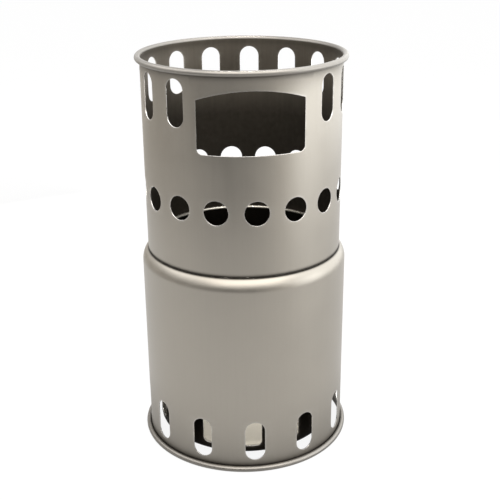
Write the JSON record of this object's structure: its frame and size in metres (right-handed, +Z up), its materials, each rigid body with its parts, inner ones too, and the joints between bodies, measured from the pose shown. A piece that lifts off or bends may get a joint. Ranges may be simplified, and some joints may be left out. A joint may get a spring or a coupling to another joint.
{
  "type": "backpacking wood stove",
  "caption": "Cylindrical sheet-titanium camp stove of three stacked shells: slotted base, firebox hanging in it, and pot stand with round air holes, vent slots and arched feed window.",
  "frame": {"origin": "middle of the base's foot, on the ground", "axes": "+Z up along the shells' common axis, -Y towards the middle of the feed window, +X to the right as seen from the window's side"},
  "size_m": [0.0958, 0.0958, 0.177],
  "materials": {
    "base_sheet": "bare titanium sheet, bead-blasted to an even satin warm grey",
    "firebox_sheet": "bare titanium sheet, satin warm grey with faint upright draw marks",
    "pot_stand_sheet": "bare titanium sheet, bead-blasted to an even satin warm grey"
  },
  "bodies": {
    "base": {"base": "base_sheet"},
    "firebox": {"firebox": "firebox_sheet"},
    "pot_stand": {"pot_stand": "pot_stand_sheet"}
  },
  "joints": [
    {"name": "firebox_lift", "type": "slide", "parent": "base", "child": "firebox", "axis": [0, 0, 1], "range_m": [0, 0.1]},
    {"name": "pot_stand_lift", "type": "slide", "parent": "base", "child": "pot_stand", "axis": [0, 0, 1], "range_m": [0, 0.12]}
  ]
}
